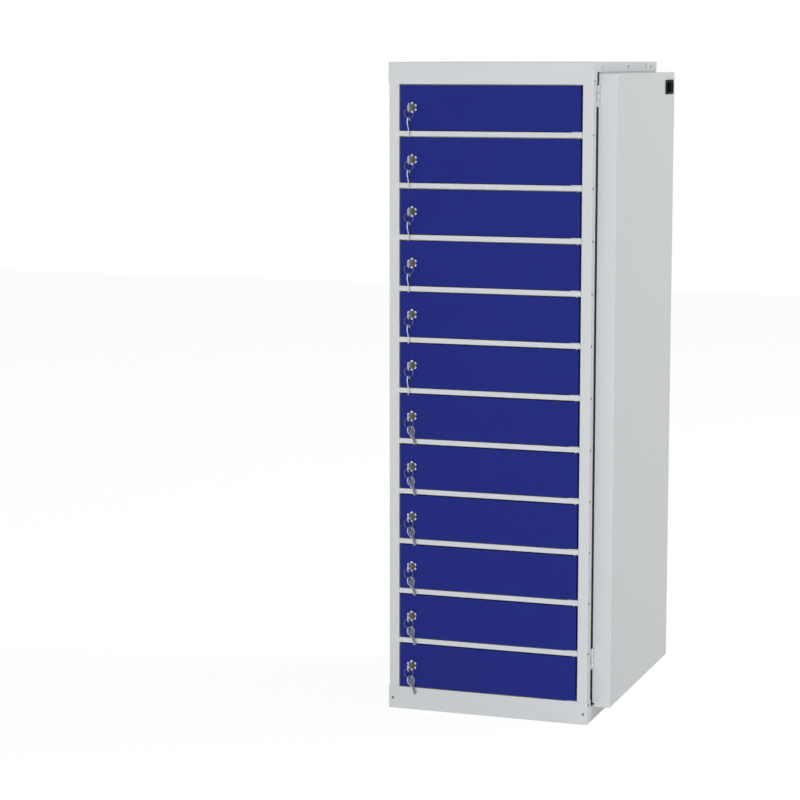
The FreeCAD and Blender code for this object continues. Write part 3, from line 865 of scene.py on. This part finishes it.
# the hinges' fixed halves, with their pins
def makeFixedLeaf(level):
    s = hingeLook
    outer = cabinet["half"] - 2 * cabinet["sheet"]
    inner, rear = outer - s["leaf"], cabinet["returnRear"]
    bottom, top = level - s["tall"] / 2, level + s["tall"] / 2
    made = [bar("plate", (inner, rear - s["fixedLeaf"], bottom), (outer, rear, top))]
    for low, high in ((bottom, level - knuckleHalf), (level + knuckleHalf, top)):
        made.append(bar("neck", (inner, rear, low + s["slack"]), (outer, s["y"], high - s["slack"])))
        made.append(makeKnuckle(low, high))
    pin = post("pin", s["pin"], (s["x"], s["y"], bottom), (s["x"], s["y"], top))
    head = post("head", s["pin"] + s["headOut"], (s["x"], s["y"], top - s["headSunk"]),
                (s["x"], s["y"], top + s["headHigh"]))
    roundEdges(head, s["headEdge"], s["headSteps"])
    dress(greyPaint, *made)
    dress(zinc, pin, head)
    return [smooth(piece) for piece in made + [pin, head]]


hinges = join("coverHinges", *[piece for level in hingeLook["levels"] for piece in makeFixedLeaf(level)])
seat(hinges, "carcass", "grey_paint", "cover_hinges")
print("hinges done")

# magnetic catches behind the cover's rear lip
catchLook = {"low": (172.3, 228.8), "high": (190.3, 242.8), "levels": (133.0, 1056.0), "tall": 46.0,
             "edge": 0.8, "edgeSteps": 3, "mouth": ((1.2, 0.0), (0.3, -1.0)),
             "pole": 1.6, "poleApart": 3.2, "poleDeep": 8.0, "poleProud": 0.4, "poleInset": 4.0,
             "poleEdge": 0.3}


def makeCatch(level):
    s = catchLook
    (x0, y0), (x1, y1) = s["low"], s["high"]
    bottom, top = level - s["tall"] / 2, level + s["tall"] / 2
    case = bar("case", (x0, y0, bottom), (x1 - s["poleProud"], y1, top))
    roundEdges(case, s["edge"], s["edgeSteps"])
    dish(case, lambda spot, facing: facing.x > squarely, *s["mouth"])
    poles = []
    for side in (-1, 1):
        y = (y0 + y1) / 2 + side * s["poleApart"]
        pole = bar("pole", (x1 - s["poleDeep"], y - s["pole"] / 2, bottom + s["poleInset"]),
                   (x1, y + s["pole"] / 2, top - s["poleInset"]))
        roundEdges(pole, s["poleEdge"])
        poles.append(smooth(pole))
    dress(blackPlastic, case)
    dress(zinc, *poles)
    return [smooth(case)] + poles


catches = join("coverCatches", *[piece for level in catchLook["levels"] for piece in makeCatch(level)])
seat(catches, "carcass", "black_plastic", "cover_catches")
print("catches done")

# outlet strips on the inside of the cover
stripLook = {"face": 197.2, "back": 219.2, "middle": 33.5, "wide": 46.0, "long": 510.0,
             "bottoms": (64.5, 614.5), "edge": 2.0, "edgeSteps": 3, "outlets": 6,
             "faceHalf": 18.0, "facePlate": 0.5, "faceSunk": 4.0, "corner": 4.0, "cornerSteps": 5,
             "rim": ((1.2, 0.0), (0.8, -0.4)), "faceEdge": 0.25, "cutAngle": 50,
             "slot": (2.2, 7.0), "spread": 6.3, "slotFrom": 2.0, "slotTo": 3.5}


def makeOutlet():
    s = stripLook
    face, middle, half = s["face"], s["middle"], s["faceHalf"]
    plate = bar("outlet", (face - s["facePlate"], middle - half, -half),
                (face + s["faceSunk"], middle + half, half))
    bevelEdges(plate, alongX, s["corner"], s["cornerSteps"])
    dish(plate, lambda spot, facing: facing.x < -squarely, *s["rim"])
    slots = []
    for across, along in ((-1, 0), (1, 0), (0, 1)):
        y, z = middle + across * s["spread"], along * s["spread"]
        thin, tall = reversed(s["slot"]) if along else s["slot"]
        slots.append(bar("slot", (face - s["slotFrom"], y - thin / 2, z - tall / 2),
                         (face + s["slotTo"], y + thin / 2, z + tall / 2)))
    cutAway(plate, *slots)
    roundEdges(plate, s["faceEdge"], angle=s["cutAngle"])
    dress(socketPlastic, plate)
    return smooth(plate)


def makeStrips():
    s = stripLook
    outlet = makeOutlet()
    made = []
    for bottom in s["bottoms"]:
        strip = bar("strip", (s["face"], s["middle"] - s["wide"] / 2, bottom),
                    (s["back"], s["middle"] + s["wide"] / 2, bottom + s["long"]))
        roundEdges(strip, s["edge"], s["edgeSteps"])
        dress(stripPlastic, strip)
        made.append(smooth(strip))
        for i in range(s["outlets"]):
            made.append(twin(outlet, "outlet", (0, 0, bottom + (i + 0.5) * s["long"] / s["outlets"])))
    discard(outlet)
    return join("outletStrips", *made)


strips = makeStrips()
seat(strips, "cover", "strip_plastic", "outlet_strips")
print("outlet strips done")


# mains inlet: flange, socket with three blades, and the fuse drawer beside it
def makeInlet():
    s = inletLook
    outer, face = coverLook["high"][0], s["face"]
    y, z = (s["near"] + s["split"]) / 2, (s["low"] + s["high"]) / 2
    flange = bar("flange", (outer, s["near"], s["low"]), (face, s["far"], s["high"]))
    bevelEdges(flange, alongX, s["corner"], s["cornerSteps"])
    roundEdges(flange, s["edge"], angle=s["cutAngle"])
    case = bar("case", (s["bodyBack"], s["near"] + s["border"], s["low"] + s["border"]),
               (outer + s["bodyFront"], s["far"] - s["border"], s["high"] - s["border"]))
    roundEdges(case, s["bodyEdge"])
    wide, tall, deep = s["socket"]
    for shell in (flange, case):
        well = bar("well", (face - deep, y - wide / 2, z - tall / 2),
                   (face + s["over"], y + wide / 2, z + tall / 2))
        bevelEdges(well, lambda a, b: alongX(a, b) and a.z > z, s["socketCut"])
        cutAway(shell, well)
    drawer = bar("drawer", (outer, s["split"] + s["drawerGap"], s["low"] + s["drawer"]),
                 (face + s["drawerProud"], s["far"] - s["drawer"], s["high"] - s["drawer"]))
    roundEdges(drawer, s["drawerEdge"], s["drawerSteps"])
    start, end = s["notch"]
    cutAway(drawer, bar("fingerNotch", (face - s["notchDeep"], s["split"] + start, z - s["notchHalf"]),
                        (face + s["over"], s["split"] + end, z + s["notchHalf"])))
    length, thick, broad = s["blade"]
    blades = []
    for across, rise in zip((-1, 0, 1), s["rises"]):
        bladeY, bladeZ = y + across * s["pitch"], z + rise
        blade = bar("blade", (face - deep, bladeY - thick / 2, bladeZ - broad / 2),
                    (face - deep + length, bladeY + thick / 2, bladeZ + broad / 2))
        roundEdges(blade, s["bladeEdge"])
        blades.append(smooth(blade))
    dress(blackPlastic, flange, case)
    dress(socketPlastic, drawer)
    dress(nickel, *blades)
    return join("mainsInlet", smooth(flange), smooth(case), smooth(drawer), *blades)


inlet = makeInlet()
seat(inlet, "cover", "black_plastic", "mains_inlet")
print("inlet done")

# floor, world, lamps and camera, in metres
stageLook = {"floor": 16.0, "floorLevel": -0.0006, "floorShare": 0.75, "floorGlow": 1.2, "floorTone": 0.8,
             "ambient": 0.32}
white = (1, 1, 1, 1)


def makeFloor():
    bpy.ops.object.select_all(action="DESELECT")
    bpy.ops.mesh.primitive_plane_add(size=stageLook["floor"], location=(0, 0, stageLook["floorLevel"]))
    floor = settle("floor")
    material = bpy.data.materials.new("paleFloor")
    material.use_nodes = True
    material.node_tree.nodes.clear()
    shade = Shade(material.node_tree)
    matt = shade.node("BsdfDiffuse", {}, {"Color": tint(white[:3], stageLook["floorTone"])})
    glow = shade.node("Emission", {}, {"Color": white, "Strength": stageLook["floorGlow"]})
    mix = shade.node("MixShader", {}, {0: shade.seen() * stageLook["floorShare"], 1: matt, 2: glow})
    shade.node("OutputMaterial", {}, {"Surface": mix})
    dress(material, floor)


def makeWorld():
    world = bpy.data.worlds.new("studio")
    world.use_nodes = True
    world.node_tree.nodes.clear()
    shade = Shade(world.node_tree)
    strength = shade.seen() * (1 - stageLook["ambient"]) + stageLook["ambient"]
    sky = shade.node("Background", {}, {"Color": white, "Strength": strength})
    shade.node("OutputWorld", {}, {"Surface": sky})
    bpy.context.scene.world = world


lamps = [
    {"name": "keyLamp", "place": (1.3, -6.0, 0.8), "aim": (0, 0, 0.3), "size": 1.8, "power": 226.0,
     "mirrored": False},
    {"name": "sideLamp", "place": (3.5, 1.8, 3.3), "aim": (0.2, 0.05, 0.8), "size": 2.2, "power": 90.0,
     "mirrored": True},
]


def makeLamp(look):
    place = Vector(look["place"])
    turn = (Vector(look["aim"]) - place).to_track_quat("-Z", "Y").to_euler()
    bpy.ops.object.select_all(action="DESELECT")
    bpy.ops.object.light_add(type="AREA", location=place, rotation=turn)
    lamp = bpy.context.object
    lamp.name = look["name"]
    lamp.data.size = look["size"]
    lamp.data.energy = look["power"]
    lamp.visible_glossy = look["mirrored"]


viewLook = {"place": (1.322, -4.434, 1.1936), "yaw": 19.516, "down": 7.881, "lens": 111.3, "sensor": 36.0}


def makeCamera():
    bpy.ops.object.select_all(action="DESELECT")
    turn = (math.radians(quarterTurn - viewLook["down"]), 0, math.radians(viewLook["yaw"]))
    bpy.ops.object.camera_add(location=viewLook["place"], rotation=turn)
    camera = bpy.context.object
    camera.data.lens = viewLook["lens"]
    camera.data.sensor_width = viewLook["sensor"]
    bpy.context.scene.camera = camera


makeFloor()
makeWorld()
for look in lamps:
    makeLamp(look)
makeCamera()
bpy.context.scene.view_settings.view_transform = "Standard"
print("stage set")
